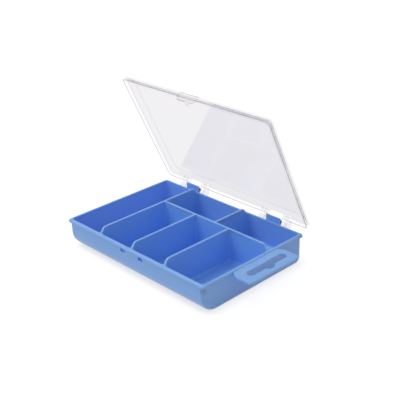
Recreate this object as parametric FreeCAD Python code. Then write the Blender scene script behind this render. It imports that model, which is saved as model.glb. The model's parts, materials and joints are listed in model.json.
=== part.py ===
import FreeCAD, Part
import math
import os

# Flat bead box: a moulded tray with six compartments and one clear hinged lid.
# Millimetres, +Z up, +X towards the hanging tab, +Y towards the hinge.
# Origin: centre of the tray's underside. The lid is drawn shut, then turned open.

# Tray
tray_length = 120.8
tray_depth = 83.6
tray_height = 19.0
wall = 1.1
floor = 1.4
lip_overhang = 0.8
lip_height = 1.8
lip_corner_radius = 1.6
lip_edge_radius = 1.1
front_lower_radius = 10.4
back_lower_radius = 4.0
side_edge_radius = 2.6

# Compartments
left_column_width = 31.1
front_columns = 3
column_pitch = 28.4
front_row_depth = 53.9
back_bay_width = 44.9
divider_thickness = 1.5
divider_rise = 3.6
divider_root = 1.6
divider_slant_run = 2.6
divider_end_radius = 2.6
divider_end_setback = 1.9
divider_edge_radius = 0.3
compartment_corner_radius = 2.3
compartment_end_radius = 2.0

# Hanging tab, with a slot for a display hook
tab_reach = 15.0
tab_width = 41.4
tab_offset = -0.3
tab_thickness = 1.6
tab_drop = 0.6
tab_corner_radius = 2.4
tab_flare = 2.3
tab_flare_run = 3.6
tab_flare_radius = 1.2
tab_edge_radius = 0.4
slot_offset = 0.5
slot_length = 31.6
slot_width = 5.2
slot_setback = 7.6
slot_end_share = 0.49
slot_eye_radius = 3.8

# Latch windows in the tray's front wall
window_spacing = 15.5
window_offset = 0.0
window_width = 4.0
window_height = 3.2
window_drop = 1.6
window_corner_radius = 0.5

# Hinge
hinge_behind = 2.95
hinge_drop = 0.7
lug_spacing = 71.0
lug_width = 10.9
lug_rise = 3.05
lug_behind = 0.8
lug_thickness = 1.0
lug_bridge_drop = 0.6
lug_corner_radius = 0.4
lug_gusset_drop = 7.4
knuckle_width = 8.1
knuckle_rise = 1.6
barrel_radius = 1.75
peg_radius = 1.0
peg_clearance = 0.06
peg_engagement = 1.2
ear_width = 5.5
ear_radius = 2.5
ear_side_gap = 0.3
ear_web_run = 5.8
ear_lip_clearance = 0.4

# Lid
lid_overhang = 0.7
lid_wall = 1.1
lid_band_thickness = 0.8
lid_panel_thickness = 0.9
lid_rim_gap = 0.55
lid_skirt_height = 2.9
lid_band_rise = 1.02
lid_band_width = 6.2
lid_step_width = 0.5
lid_panel_gap = 0.3
lid_corner_radius = 2.8
lid_panel_corner_radius = 2.5
lid_top_edge_radius = 0.6
lug_swing_clearance = 1.1
open_angle = 65.1

# Latch on the lid's front
latch_offset = -1.4
latch_root_width = 15.6
latch_width = 13.4
latch_depth = 3.4
latch_thickness = 1.0
latch_gap = 0.3
latch_corner_radius = 1.5
latch_knob_radius = 1.1
latch_knob_proud = 0.5
latch_knob_inset = 0.8
thumb_offset = 3.0
thumb_lean = 1.4
thumb_width = 4.0
thumb_depth = 2.0
thumb_tip_width = 1.4
thumb_corner_radius = 0.5

# One overrun for all cuts, so that no tool face lies on a cut face
overrun = 1.0

# Places closer than this count as one when edges are picked
match_tolerance = 0.04

# Places worked out from the sizes above
rim_z = tray_height
half_length = tray_length / 2
half_depth = tray_depth / 2
wall_half_length = half_length - lip_overhang
wall_half_depth = half_depth - lip_overhang
inner_half_length = wall_half_length - wall
inner_half_depth = wall_half_depth - wall
left_divider_x = left_column_width - half_length
divider_lines = [left_divider_x + column * column_pitch for column in range(front_columns)]
cross_divider_y = front_row_depth - half_depth
back_divider_x = left_divider_x + back_bay_width
half_divider = divider_thickness / 2
hinge_y = half_depth + hinge_behind
hinge_z = rim_z - hinge_drop
lug_front_y = half_depth + lug_behind
latch_inner_y = -half_depth - latch_gap
lid_edge_z = rim_z + lid_rim_gap
panel_inner_z = rim_z + divider_rise + lid_panel_gap
panel_outer_z = panel_inner_z + lid_panel_thickness
ear_inner = lug_width / 2 + ear_side_gap
lug_centres = (-lug_spacing / 2, lug_spacing / 2)

vector = FreeCAD.Vector
x_way = vector(1, 0, 0)
y_way = vector(0, 1, 0)
z_way = vector(0, 0, 1)


def in_plan(z):
    return lambda u, v: vector(u, v, z)


def in_side(x):
    return lambda u, v: vector(x, u, v)


def in_front(y):
    return lambda u, v: vector(u, y, v)


def outline(corners, place):
    # A closed wire through (u, v, radius) corners, each corner rounded by its own radius.
    count = len(corners)
    starts = []
    middles = []
    ends = []
    for index in range(count):
        u, v, radius = corners[index]
        before = corners[index - 1]
        after = corners[(index + 1) % count]
        back = vector(before[0] - u, before[1] - v, 0).normalize()
        ahead = vector(after[0] - u, after[1] - v, 0).normalize()
        corner = vector(u, v, 0)
        half_angle = back.getAngle(ahead) / 2
        reach = radius / math.tan(half_angle)
        inward = (back + ahead).normalize()
        to_centre = radius / math.sin(half_angle)
        starts.append(corner + back * reach)
        middles.append(corner + inward * (to_centre - radius))
        ends.append(corner + ahead * reach)
    edges = []
    for index in range(count):
        start = place(starts[index].x, starts[index].y)
        middle = place(middles[index].x, middles[index].y)
        end = place(ends[index].x, ends[index].y)
        following = starts[(index + 1) % count]
        next_start = place(following.x, following.y)
        if corners[index][2] > 0:
            edges.append(Part.Arc(start, middle, end).toShape())
        if end.distanceToPoint(next_start) > Part.Precision.confusion():
            edges.append(Part.LineSegment(end, next_start).toShape())
    return Part.Wire(edges)


def prism(corners, place, way):
    return Part.Face(outline(corners, place)).extrude(way)


def rectangle(u0, v0, u1, v1, radius):
    return [(u0, v0, radius), (u1, v0, radius), (u1, v1, radius), (u0, v1, radius)]


def centred_rectangle(half_u, half_v, radius):
    return rectangle(-half_u, -half_v, half_u, half_v, radius)


def cylinder_along_x(x0, x1, radius):
    return Part.makeCylinder(radius, x1 - x0, vector(x0, hinge_y, hinge_z), x_way)


def edges_at(shape, test):
    # The edges whose every corner and middle pass the test.
    chosen = []
    for edge in shape.Edges:
        middle = edge.valueAt((edge.FirstParameter + edge.LastParameter) / 2)
        points = [vertex.Point for vertex in edge.Vertexes] + [middle]
        if all(test(point) for point in points):
            chosen.append(edge)
    return chosen


def near(value, target):
    return abs(value - target) < match_tolerance


def fillet_end_loop(shape, x, top, radius):
    # Rounds the loop of edges round one end face, all but the edge at the top.
    loop = edges_at(shape, lambda point: near(point.x, x))
    kept = [edge for edge in loop if not near(edge.CenterOfMass.z, top)]
    return shape.makeFillet(radius, kept)


def tray_body():
    corners = [
        (-wall_half_depth, 0, front_lower_radius),
        (wall_half_depth, 0, back_lower_radius),
        (wall_half_depth, rim_z, 0),
        (-wall_half_depth, rim_z, 0),
    ]
    body = prism(corners, in_side(-wall_half_length), x_way * (2 * wall_half_length))
    for x in (-wall_half_length, wall_half_length):
        body = fillet_end_loop(body, x, rim_z, side_edge_radius)
    lip_plan = centred_rectangle(half_length, half_depth, lip_corner_radius)
    lip = prism(lip_plan, in_plan(rim_z - lip_height), z_way * lip_height)
    rim_edges = edges_at(lip, lambda point: near(point.z, rim_z))
    lip = lip.makeFillet(lip_edge_radius, rim_edges)
    return body.fuse(lip)


def compartment(x0, x1, y0, y1):
    # The room in one compartment, running up past the rim.
    top = rim_z + overrun
    at_front = near(y0, -inner_half_depth)
    at_back = near(y1, inner_half_depth)
    front_radius = front_lower_radius - wall if at_front else compartment_corner_radius
    back_radius = back_lower_radius - wall if at_back else compartment_corner_radius
    corners = [
        (y0, floor, front_radius),
        (y1, floor, back_radius),
        (y1, top, 0),
        (y0, top, 0),
    ]
    room = prism(corners, in_side(x0), x_way * (x1 - x0))
    for x in (x0, x1):
        room = fillet_end_loop(room, x, top, compartment_end_radius)
    return room


def compartments():
    front = -inner_half_depth
    back = inner_half_depth
    front_row_end = cross_divider_y - half_divider
    back_row_start = cross_divider_y + half_divider
    rooms = [compartment(-inner_half_length, left_divider_x - half_divider, front, back)]
    starts = [x + half_divider for x in divider_lines]
    ends = [x - half_divider for x in divider_lines[1:]] + [inner_half_length]
    for x0, x1 in zip(starts, ends):
        rooms.append(compartment(x0, x1, front, front_row_end))
    back_bay_start = left_divider_x + half_divider
    back_bay_end = back_divider_x - half_divider
    rooms.append(compartment(back_bay_start, back_bay_end, back_row_start, back))
    last_bay_start = back_divider_x + half_divider
    rooms.append(compartment(last_bay_start, inner_half_length, back_row_start, back))
    return rooms


def divider_top(u0, u1, slanted_start, slanted_end, place, way):
    # The part of a divider that stands above the rim, with ends that slant down to it.
    low = rim_z - divider_root
    high = rim_z + divider_rise
    corners = [(u0, low, 0), (u1, low, 0)]
    if slanted_end:
        corners += [(u1, rim_z, 0), (u1 - divider_slant_run, high, divider_end_radius)]
    else:
        corners.append((u1, high, 0))
    if slanted_start:
        corners += [(u0 + divider_slant_run, high, divider_end_radius), (u0, rim_z, 0)]
    else:
        corners.append((u0, high, 0))
    plate = prism(corners, place, way * divider_thickness)
    along = way.cross(z_way)
    long_edges = []
    for edge in plate.Edges:
        ends = [vertex.Point.dot(along) for vertex in edge.Vertexes]
        is_long = max(ends) - min(ends) > divider_edge_radius
        if is_long and edge.CenterOfMass.z > rim_z:
            long_edges.append(edge)
    return plate.makeFillet(divider_edge_radius, long_edges)


def dividers():
    front = divider_end_setback - half_depth
    back = half_depth - divider_end_setback
    right = half_length - divider_end_setback
    left_place = in_side(left_divider_x - half_divider)
    tops = [divider_top(front, back, True, True, left_place, x_way)]
    for x in divider_lines[1:]:
        place = in_side(x - half_divider)
        tops.append(divider_top(front, cross_divider_y, True, False, place, x_way))
    back_place = in_side(back_divider_x - half_divider)
    tops.append(divider_top(cross_divider_y, back, False, True, back_place, x_way))
    cross_place = in_front(cross_divider_y - half_divider)
    tops.append(divider_top(left_divider_x, right, False, True, cross_place, y_way))
    return tops


def hang_tab():
    # Narrow where it leaves the lip, then wider, with a long slot and a rounded eye.
    start = wall_half_length - wall / 2
    wide = half_length + tab_flare_run
    end = half_length + tab_reach
    top = rim_z - tab_drop
    y0 = tab_offset - tab_width / 2
    y1 = tab_offset + tab_width / 2
    corners = [
        (start, y0 + tab_flare, 0),
        (half_length, y0 + tab_flare, 0),
        (wide, y0, tab_flare_radius),
        (end, y0, tab_corner_radius),
        (end, y1, tab_corner_radius),
        (wide, y1, tab_flare_radius),
        (half_length, y1 - tab_flare, 0),
        (start, y1 - tab_flare, 0),
    ]
    tab = prism(corners, in_plan(top - tab_thickness), z_way * tab_thickness)
    outer = edges_at(tab, lambda point: near(point.z, top) or near(point.z, top - tab_thickness))
    rounded = [edge for edge in outer if edge.CenterOfMass.x > start + wall]
    tab = tab.makeFillet(tab_edge_radius, rounded)
    slot_x1 = end - slot_setback + slot_width / 2
    slot_x0 = slot_x1 - slot_width
    low = top - tab_thickness - overrun
    height = tab_thickness + 2 * overrun
    half_slot = slot_length / 2
    end_radius = slot_width * slot_end_share
    slot_y0 = slot_offset - half_slot
    slot_plan = rectangle(slot_x0, slot_y0, slot_x1, slot_y0 + slot_length, end_radius)
    slot = prism(slot_plan, in_plan(low), z_way * height)
    eye_place = vector(slot_x0 + slot_eye_radius, slot_offset, low)
    eye = Part.makeCylinder(slot_eye_radius, height, eye_place)
    return tab.cut(slot.fuse(eye))


def latch_window(x):
    # An opening through the front wall and the lip's lower part.
    x0 = x - window_width / 2
    top = rim_z - window_drop
    corners = rectangle(x0, top - window_height, x0 + window_width, top, window_corner_radius)
    through = lip_overhang + wall + 2 * overrun
    return prism(corners, in_front(-half_depth - overrun), y_way * through)


def tangent_point(y, z, radius, side):
    # Where a line from (y, z) touches the circle of that radius round the hinge axis.
    reach = math.hypot(y - hinge_y, z - hinge_z)
    bearing = math.atan2(z - hinge_z, y - hinge_y)
    turn = side * math.acos(radius / reach)
    return (
        hinge_y + radius * math.cos(bearing + turn),
        hinge_z + radius * math.sin(bearing + turn),
    )


def hinge_lug(x):
    # A thin upright plate behind the lip, with a bored knuckle on its back.
    front = lug_front_y
    back = front + lug_thickness
    middle = front + lug_thickness / 2
    top = rim_z + lug_rise
    bridge_z = rim_z - lug_bridge_drop
    knuckle_z = rim_z + knuckle_rise
    foot_y = wall_half_depth - wall / 2
    foot_z = rim_z - lug_gusset_drop
    rear_y, rear_z = tangent_point(back, knuckle_z, barrel_radius, -1)
    under_y, under_z = tangent_point(foot_y, foot_z, barrel_radius, 1)
    rise = (under_z - foot_z) / (under_y - foot_y)
    plate_corners = [
        (foot_y, foot_z, 0),
        (back, foot_z + rise * (back - foot_y), 0),
        (back, top, lug_corner_radius),
        (front, top, lug_corner_radius),
        (front, bridge_z, 0),
        (foot_y, bridge_z, 0),
    ]
    knuckle_corners = [
        (middle, foot_z + rise * (middle - foot_y), 0),
        (under_y, under_z, 0),
        (hinge_y, hinge_z, 0),
        (rear_y, rear_z, 0),
        (back, knuckle_z, 0),
        (middle, knuckle_z, 0),
    ]
    x0 = x - knuckle_width / 2
    x1 = x + knuckle_width / 2
    plate = prism(plate_corners, in_side(x - lug_width / 2), x_way * lug_width)
    knuckle = prism(knuckle_corners, in_side(x0), x_way * knuckle_width)
    barrel = cylinder_along_x(x0, x1, barrel_radius)
    bore = cylinder_along_x(x0 - overrun, x1 + overrun, peg_radius + peg_clearance)
    return plate.fuse([knuckle, barrel]).cut(bore)


def make_tray():
    windows = [latch_window(window_offset + side * window_spacing / 2) for side in (-1, 1)]
    body = tray_body().cut(compartments() + windows)
    added = dividers() + [hang_tab()]
    added += [hinge_lug(x) for x in lug_centres]
    return body.fuse(added).removeSplitter()


def lid_plan(inset, radius, z):
    half_x = half_length + lid_overhang - inset
    half_y = half_depth + lid_overhang - inset
    return outline(centred_rectangle(half_x, half_y, radius), in_plan(z))


def lid_form(wall_inset, levels):
    # A skirt, a sloping band and a raised panel, lofted through plans at four levels.
    skirt_low, skirt_high, band_high, panel_high = levels
    band_inset = lid_band_width
    skirt_radius = lid_corner_radius - wall_inset
    low = lid_plan(wall_inset, skirt_radius, skirt_low)
    high = lid_plan(wall_inset, skirt_radius, skirt_high)
    band = lid_plan(band_inset, lid_panel_corner_radius, band_high)
    panel = lid_plan(band_inset + lid_step_width, lid_panel_corner_radius, panel_high)
    skirt = Part.makeLoft([low, high], True, True)
    slope = Part.makeLoft([high, band], True, True)
    step = Part.makeLoft([band, panel], True, True)
    return skirt.fuse([slope, step]).removeSplitter()


def lid_shell():
    skirt_top = lid_edge_z + lid_skirt_height
    band_top = skirt_top + lid_band_rise
    outer = lid_form(0, (lid_edge_z, skirt_top, band_top, panel_outer_z))
    top_edges = edges_at(outer, lambda point: near(point.z, skirt_top))
    outer = outer.makeFillet(lid_top_edge_radius, top_edges)
    slope = lid_band_rise / lid_band_width
    skirt_ceiling = skirt_top + slope * lid_wall - lid_band_thickness
    band_ceiling = band_top - lid_band_thickness
    low = lid_edge_z - overrun
    inner = lid_form(lid_wall, (low, skirt_ceiling, band_ceiling, panel_inner_z))
    return outer.cut(inner)


def lug_notch(x):
    # Room in the lid's back skirt for one lug, between its two ears.
    crest = math.hypot(hinge_y - lug_front_y, rim_z + lug_rise - hinge_z)
    lug_reach = crest + lug_swing_clearance
    ceiling = panel_inner_z - lid_band_thickness - hinge_z
    notch_y = hinge_y - math.sqrt(lug_reach ** 2 - ceiling ** 2)
    back = half_depth + lid_overhang + overrun
    plan = rectangle(x - ear_inner, notch_y, x + ear_inner, back, 0)
    return prism(plan, in_plan(lid_edge_z - overrun), z_way * (panel_outer_z - rim_z + overrun))


def lid_ear(x, side):
    # An ear that hangs from the lid's back beside one lug, with a peg into the lug's bore.
    inner = x + side * ear_inner
    outer = inner + side * ear_width
    tip = x + side * (knuckle_width / 2 - peg_engagement)
    x0 = min(inner, outer)
    disc = cylinder_along_x(x0, x0 + ear_width, ear_radius)
    peg = cylinder_along_x(min(tip, outer), max(tip, outer), peg_radius)
    slope = lid_band_rise / lid_band_width
    root_y = hinge_y - ear_web_run
    ceiling = lid_edge_z + lid_skirt_height + slope * (half_depth + lid_overhang - root_y)
    root_z = ceiling - lid_band_thickness / 2
    crown_y, crown_z = tangent_point(root_y, root_z, ear_radius, -1)
    lip_y = half_depth + ear_lip_clearance
    corners = [
        (lip_y, hinge_z, 0),
        (hinge_y, hinge_z, 0),
        (crown_y, crown_z, 0),
        (root_y, root_z, 0),
        (lip_y - lid_wall, lid_edge_z + ear_side_gap, 0),
        (lip_y, lid_edge_z, 0),
    ]
    web = prism(corners, in_side(x0), x_way * ear_width)
    return disc.fuse([web, peg])


def lid_latch():
    # A tongue that narrows downwards, with a rib up each side and a leaning thumb tip.
    outer_y = latch_inner_y - latch_thickness
    top = lid_edge_z + lid_skirt_height - lid_top_edge_radius
    bottom = lid_edge_z - latch_depth
    tip = bottom - thumb_depth
    half_root = latch_root_width / 2
    half_width = latch_width / 2
    thumb_x = latch_offset + thumb_offset
    tip_x = thumb_x + thumb_lean
    corners = [
        (latch_offset - half_root, top, 0),
        (latch_offset - half_width, bottom, latch_corner_radius),
        (thumb_x - thumb_width / 2, bottom, thumb_corner_radius),
        (tip_x - thumb_tip_width / 2, tip, thumb_corner_radius),
        (tip_x + thumb_tip_width / 2, tip, thumb_corner_radius),
        (thumb_x + thumb_width / 2, bottom, thumb_corner_radius),
        (latch_offset + half_width, bottom, latch_corner_radius),
        (latch_offset + half_root, top, 0),
    ]
    tongue = prism(corners, in_front(outer_y), y_way * latch_thickness)
    knobs = []
    for side in (-1, 1):
        x = latch_offset + side * (half_width - latch_knob_inset)
        knob_y = outer_y - latch_knob_proud + latch_knob_radius
        low = bottom + latch_corner_radius
        rod = Part.makeCylinder(latch_knob_radius, top - low, vector(x, knob_y, low))
        knobs.append(rod)
    return tongue.fuse(knobs)


def trim_behind_latch(latch):
    # Nothing of the latch's ribs reaches inside its own inner face.
    plan = rectangle(-half_length, latch_inner_y, half_length, 0, 0)
    behind = prism(plan, in_plan(0), z_way * (panel_outer_z + overrun))
    return latch.cut(behind)


def make_lid():
    lid = lid_shell().cut([lug_notch(x) for x in lug_centres])
    added = [trim_behind_latch(lid_latch())]
    for x in lug_centres:
        added += [lid_ear(x, side) for side in (-1, 1)]
    return lid.fuse(added).removeSplitter()


os.makedirs("parts", exist_ok=True)

tray = make_tray()
lid = make_lid()
lid.rotate(vector(0, hinge_y, hinge_z), vector(-1, 0, 0), open_angle)

for name, shape in (("tray", tray), ("lid", lid)):
    solids = shape.Solids
    box = shape.BoundBox
    print(name, "solids", len(solids), "valid", shape.isValid(), "volume", round(shape.Volume))
    print("  x", round(box.XMin, 2), round(box.XMax, 2), "y", round(box.YMin, 2),
          round(box.YMax, 2), "z", round(box.ZMin, 2), round(box.ZMax, 2))
    solids[0].exportStep("parts/" + name + ".step")
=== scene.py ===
import json
from math import radians

import bpy
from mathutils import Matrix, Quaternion, Vector


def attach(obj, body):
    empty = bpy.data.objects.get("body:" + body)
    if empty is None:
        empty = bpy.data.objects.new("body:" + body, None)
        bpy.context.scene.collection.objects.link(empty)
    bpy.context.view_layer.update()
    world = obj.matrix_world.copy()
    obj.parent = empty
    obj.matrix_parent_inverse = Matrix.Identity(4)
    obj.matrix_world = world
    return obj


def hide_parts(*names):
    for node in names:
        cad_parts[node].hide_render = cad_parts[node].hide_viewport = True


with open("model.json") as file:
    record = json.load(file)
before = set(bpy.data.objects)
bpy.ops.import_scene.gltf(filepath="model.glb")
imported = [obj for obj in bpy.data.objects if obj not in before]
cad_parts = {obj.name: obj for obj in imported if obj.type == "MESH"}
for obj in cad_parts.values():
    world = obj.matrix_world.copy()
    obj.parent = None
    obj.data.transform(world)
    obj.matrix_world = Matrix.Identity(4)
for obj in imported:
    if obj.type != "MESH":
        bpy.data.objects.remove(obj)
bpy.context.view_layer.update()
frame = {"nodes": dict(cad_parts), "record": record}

# Bead box with a blue tray and a clear lid, standing open on a white table.

bodyNames = {"tray": "tray", "lid": "lid"}
hingePoint = Vector(frame["record"]["behaviour"]["joints"][0]["pos_m"])


def newMaterial(name):
    material = bpy.data.materials.new(name)
    material.use_nodes = True
    nodes = material.node_tree.nodes
    nodes.clear()
    return material, nodes, material.node_tree.links


def addNode(nodes, kind, values):
    node = nodes.new(kind)
    for socketName, value in values.items():
        node.inputs[socketName].default_value = value
    return node


def addMath(nodes, links, operation, *terms):
    # A term is a number, or another node's output.
    node = nodes.new("ShaderNodeMath")
    node.operation = operation
    for socket, term in zip(node.inputs, terms):
        if isinstance(term, bpy.types.NodeSocket):
            links.new(term, socket)
        else:
            socket.default_value = term
    return node.outputs["Value"]


# Materials

bluePlastic = {
    "deep": (0.215, 0.460, 0.950, 1),
    "light": (0.245, 0.500, 0.980, 1),
    "cloudScale": 28.0,      # slow drift of colour in the moulding
    "cloudDetail": 2,
    "roughness": 0.30,
    "grainScale": 2600.0,    # fine spark texture of the mould
    "grainDepth": 0.00003,
    "subsurface": 0.35,
    "subsurfaceReach": 0.004,
}


def makeBluePlastic(facts):
    material, nodes, links = newMaterial("bluePlastic")
    place = nodes.new("ShaderNodeTexCoord")
    cloud = addNode(nodes, "ShaderNodeTexNoise", {
        "Scale": facts["cloudScale"],
        "Detail": facts["cloudDetail"],
    })
    ramp = nodes.new("ShaderNodeValToRGB")
    ramp.color_ramp.elements[0].color = facts["deep"]
    ramp.color_ramp.elements[1].color = facts["light"]
    grain = addNode(nodes, "ShaderNodeTexNoise", {"Scale": facts["grainScale"]})
    bump = addNode(nodes, "ShaderNodeBump", {"Distance": facts["grainDepth"]})
    shader = addNode(nodes, "ShaderNodeBsdfPrincipled", {
        "Roughness": facts["roughness"],
        "Subsurface Weight": facts["subsurface"],
        "Subsurface Scale": facts["subsurfaceReach"],
    })
    output = nodes.new("ShaderNodeOutputMaterial")
    links.new(place.outputs["Object"], cloud.inputs["Vector"])
    links.new(cloud.outputs["Fac"], ramp.inputs["Fac"])
    links.new(ramp.outputs["Color"], shader.inputs["Base Color"])
    links.new(place.outputs["Object"], grain.inputs["Vector"])
    links.new(grain.outputs["Fac"], bump.inputs["Height"])
    links.new(bump.outputs["Normal"], shader.inputs["Normal"])
    links.new(shader.outputs["BSDF"], output.inputs["Surface"])
    return material


clearPlastic = {
    "tintsAndEdgeShade": {               # light that each surface lets through, then its share of gloss; darker on narrow faces and the free edge as painted shade
        "broad": (0.905, 0.897, 0.907, 1),      # panel and band
        "side": (0.958, 0.953, 0.961, 0.2),     # skirt and web faces
        "narrow": (0.830, 0.825, 0.836, 0.3),   # rounds and steps, darkened as painted shade for the light they bend away
        "rim": (0.660, 0.654, 0.668, 0.2),      # the skirt's free edge, darkened as painted shade for the dark line refraction draws there
        "peg": (0.985, 0.983, 0.987, 0.2),      # pegs, which sit inside the blue bores
    },
    "pegReach": 0.0014,      # faces this near the hinge's axis are a peg's
    "narrowWidth": 0.0014,   # faces thinner than this are narrow
    "sideSlant": 0.5,        # faces turned further than this from the panel are sides
    "bandSlants": (0.97, 0.999),         # slivers round the band's corners are band too
    "wallSlant": 0.05,                   # and slivers round the skirt's corners are skirt
    "roughness": 0.04,
    "ior": 1.49,
    "waveScale": 18.0,       # slight flow waves in the clear sheet
    "waveDetail": 1,
    "waveDepth": 0.00004,
}


def faceKind(face, corners, outward, facts):
    if max((corner - hingePoint).yz.length for corner in corners) < facts["pegReach"]:
        return "peg"
    slant = abs(face.normal.dot(outward))
    steepest, flattest = facts["bandSlants"]
    isBand = steepest < slant < flattest
    isWall = slant < facts["wallSlant"]
    around = sum((corners[i] - corners[i - 1]).length for i in range(len(corners)))
    isNarrow = 2 * face.area < facts["narrowWidth"] * around
    if isNarrow and not isBand and not isWall:
        return "rim" if slant > flattest else "narrow"
    return "side" if slant < facts["sideSlant"] else "broad"


# Each face gets its kind's colour; narrow faces and the free edge get darker ones, painted
# shade for the dark lines refraction draws.
def tintAndShadeFaces(piece, facts):
    mesh = piece.data
    outward = max(mesh.polygons, key=lambda face: face.area).normal
    colours = []
    for face in mesh.polygons:
        corners = [mesh.vertices[index].co for index in face.vertices]
        colours.extend(facts["tintsAndEdgeShade"][faceKind(face, corners, outward, facts)])
    mesh.attributes.new("tintAndEdgeShade", "FLOAT_COLOR", "FACE").data.foreach_set("color", colours)


def makeClearPlastic(facts):
    # Light goes straight through, coloured by the plastic and darkened on narrow faces and the
    # free edge as painted shade, under a coat that mirrors by angle.
    material, nodes, links = newMaterial("clearPlastic")
    tintAndEdgeShade = nodes.new("ShaderNodeAttribute")
    tintAndEdgeShade.attribute_name = "tintAndEdgeShade"
    through = nodes.new("ShaderNodeBsdfTransparent")
    links.new(tintAndEdgeShade.outputs["Color"], through.inputs["Color"])
    place = nodes.new("ShaderNodeTexCoord")
    wave = addNode(nodes, "ShaderNodeTexNoise", {
        "Scale": facts["waveScale"],
        "Detail": facts["waveDetail"],
    })
    bump = addNode(nodes, "ShaderNodeBump", {"Distance": facts["waveDepth"]})
    links.new(place.outputs["Object"], wave.inputs["Vector"])
    links.new(wave.outputs["Fac"], bump.inputs["Height"])
    coat = addNode(nodes, "ShaderNodeBsdfGlossy", {"Roughness": facts["roughness"]})
    links.new(bump.outputs["Normal"], coat.inputs["Normal"])
    fresnel = addNode(nodes, "ShaderNodeFresnel", {"IOR": facts["ior"]})
    links.new(bump.outputs["Normal"], fresnel.inputs["Normal"])
    # The coat is on the outside of a face alone.
    side = nodes.new("ShaderNodeNewGeometry")
    outside = addMath(nodes, links, "SUBTRACT", 1, side.outputs["Backfacing"])
    share = addMath(nodes, links, "MULTIPLY", fresnel.outputs["Fac"], outside)
    gloss = addMath(nodes, links, "MULTIPLY", share, tintAndEdgeShade.outputs["Alpha"])
    mix = nodes.new("ShaderNodeMixShader")
    output = nodes.new("ShaderNodeOutputMaterial")
    links.new(gloss, mix.inputs["Fac"])
    links.new(through.outputs["BSDF"], mix.inputs[1])
    links.new(coat.outputs["BSDF"], mix.inputs[2])
    links.new(mix.outputs["Shader"], output.inputs["Surface"])
    return material


# Moulded pieces: the construction model's shapes, welded and smoothed for shading

moulding = {
    "weld": 0.000002,        # vertices closer than this are one
    "flatAngle": radians(0.06),
    "smoothAngle": radians(50),
    "flatFaceWeight": 90,    # broad faces keep their own normals, small rounds blend
}


def dressMoulding(nodeName, pieceName, material, facts):
    source = frame["nodes"][nodeName]
    bpy.ops.object.select_all(action="DESELECT")
    piece = source.copy()
    piece.data = source.data.copy()
    piece.name = pieceName
    piece.parent = None
    for key in list(piece.keys()):
        del piece[key]
    bpy.context.scene.collection.objects.link(piece)
    bpy.context.view_layer.objects.active = piece
    piece.select_set(True)
    bpy.ops.object.mode_set(mode="EDIT")
    bpy.ops.mesh.select_all(action="SELECT")
    bpy.ops.mesh.remove_doubles(threshold=facts["weld"])
    bpy.ops.mesh.dissolve_limited(angle_limit=facts["flatAngle"])
    bpy.ops.object.mode_set(mode="OBJECT")
    bpy.ops.object.shade_smooth_by_angle(angle=facts["smoothAngle"])
    weighted = piece.modifiers.new("broadFaces", "WEIGHTED_NORMAL")
    weighted.mode = "FACE_AREA"
    weighted.weight = facts["flatFaceWeight"]
    weighted.keep_sharp = True
    bpy.ops.object.modifier_apply(modifier=weighted.name)
    piece.data.materials.clear()
    piece.data.materials.append(material)
    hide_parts(nodeName)
    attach(piece, bodyNames[nodeName])
    print(pieceName, "faces", len(piece.data.polygons))
    return piece


trayPiece = dressMoulding("tray", "trayMoulding", makeBluePlastic(bluePlastic), moulding)
lidPiece = dressMoulding("lid", "lidMoulding", makeClearPlastic(clearPlastic), moulding)
tintAndShadeFaces(lidPiece, clearPlastic)
print("mouldings dressed")


# White table and surround

tableFacts = {
    "size": 6.0,
    "colour": (0.80, 0.80, 0.80, 1),
    "seenColour": (0.25, 0.25, 0.25, 1),
    "glow": 0.89,            # lifts the table to white for the eye, keeps its shadow
    "contactReach": 0.006,   # how far the dark line under the tray's edge spreads
    "contactShade": 0.27,
}

surroundFacts = {
    "colour": (1.0, 1.0, 1.0, 1),
    "light": 0.43,
}


def seenRays(nodes, links):
    # 1 for rays from the eye, mirrored ones too, and 0 for those that carry light
    path = nodes.new("ShaderNodeLightPath")
    direct = path.outputs["Is Camera Ray"]
    mirrored = addMath(nodes, links, "MAXIMUM", direct, path.outputs["Is Glossy Ray"])
    return addMath(nodes, links, "MAXIMUM", mirrored, path.outputs["Is Transmission Ray"])


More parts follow.
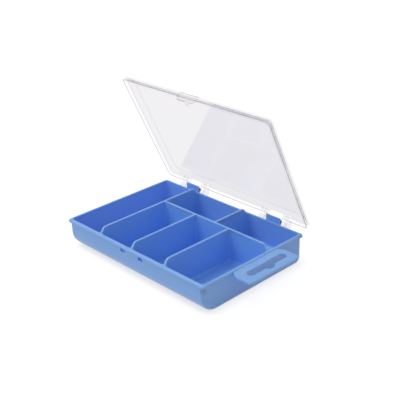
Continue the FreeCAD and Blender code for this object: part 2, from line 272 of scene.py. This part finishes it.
def makeTable(facts):
    bpy.ops.object.select_all(action="DESELECT")
    bpy.ops.mesh.primitive_plane_add(size=facts["size"], location=(0, 0, 0))
    table = bpy.context.object
    table.name = "table"
    material, nodes, links = newMaterial("tableWhite")
    matt = addNode(nodes, "ShaderNodeBsdfDiffuse", {"Color": facts["colour"]})
    seenMatt = addNode(nodes, "ShaderNodeBsdfDiffuse", {"Color": facts["seenColour"]})
    contact = addNode(nodes, "ShaderNodeAmbientOcclusion", {"Distance": facts["contactReach"]})
    shaded = facts["glow"] * facts["contactShade"]
    strength = addMath(nodes, links, "MULTIPLY_ADD",
                       contact.outputs["AO"], shaded, facts["glow"] - shaded)
    glow = nodes.new("ShaderNodeEmission")
    links.new(strength, glow.inputs["Strength"])
    both = nodes.new("ShaderNodeAddShader")
    links.new(seenMatt.outputs["BSDF"], both.inputs[0])
    links.new(glow.outputs["Emission"], both.inputs[1])
    choice = nodes.new("ShaderNodeMixShader")
    output = nodes.new("ShaderNodeOutputMaterial")
    links.new(seenRays(nodes, links), choice.inputs["Fac"])
    links.new(matt.outputs["BSDF"], choice.inputs[1])
    links.new(both.outputs["Shader"], choice.inputs[2])
    links.new(choice.outputs["Shader"], output.inputs["Surface"])
    table.data.materials.append(material)


def lightSurround(facts):
    world = bpy.data.worlds.new("surround")
    bpy.context.scene.world = world
    world.use_nodes = True
    nodes = world.node_tree.nodes
    links = world.node_tree.links
    nodes.clear()
    seen = addNode(nodes, "ShaderNodeBackground", {"Color": facts["colour"]})
    lighting = addNode(nodes, "ShaderNodeBackground", {
        "Color": facts["colour"],
        "Strength": facts["light"],
    })
    mix = nodes.new("ShaderNodeMixShader")
    output = nodes.new("ShaderNodeOutputWorld")
    links.new(seenRays(nodes, links), mix.inputs["Fac"])
    links.new(lighting.outputs["Background"], mix.inputs[1])
    links.new(seen.outputs["Background"], mix.inputs[2])
    links.new(mix.outputs["Shader"], output.inputs["Surface"])


makeTable(tableFacts)
lightSurround(surroundFacts)

keyLamp = {
    "place": (-0.70, -0.60, 1.60),
    "size": 1.20,
    "power": 15.3,
}


def addLamp(name, facts):
    bpy.ops.object.light_add(type="AREA", location=facts["place"])
    lamp = bpy.context.object
    lamp.name = name
    lamp.data.size = facts["size"]
    lamp.data.energy = facts["power"]
    lamp.rotation_euler = (-Vector(facts["place"])).to_track_quat("-Z", "Y").to_euler()


addLamp("keyLamp", keyLamp)
print("table and light ready")


# Camera, at the photograph's viewing angle

cameraFacts = {
    "place": (0.327735, -0.296864, 0.244027),
    "target": (-0.015705, 0.032056, 0.019),
    "roll": radians(-1.6595),
    "lens": 72.545,
    "sensor": 36,
    "nearest": 0.001,
}


def addCamera(facts):
    place = Vector(facts["place"])
    sight = Vector(facts["target"]) - place
    bpy.ops.object.camera_add(location=place)
    camera = bpy.context.object
    aim = sight.to_track_quat("-Z", "Y")
    camera.rotation_mode = "QUATERNION"
    camera.rotation_quaternion = aim @ Quaternion((0, 0, 1), facts["roll"])
    camera.data.sensor_width = facts["sensor"]
    camera.data.lens = facts["lens"]
    camera.data.clip_start = facts["nearest"]
    bpy.context.scene.camera = camera


addCamera(cameraFacts)
bpy.context.scene.view_settings.view_transform = "Standard"
print("camera set")
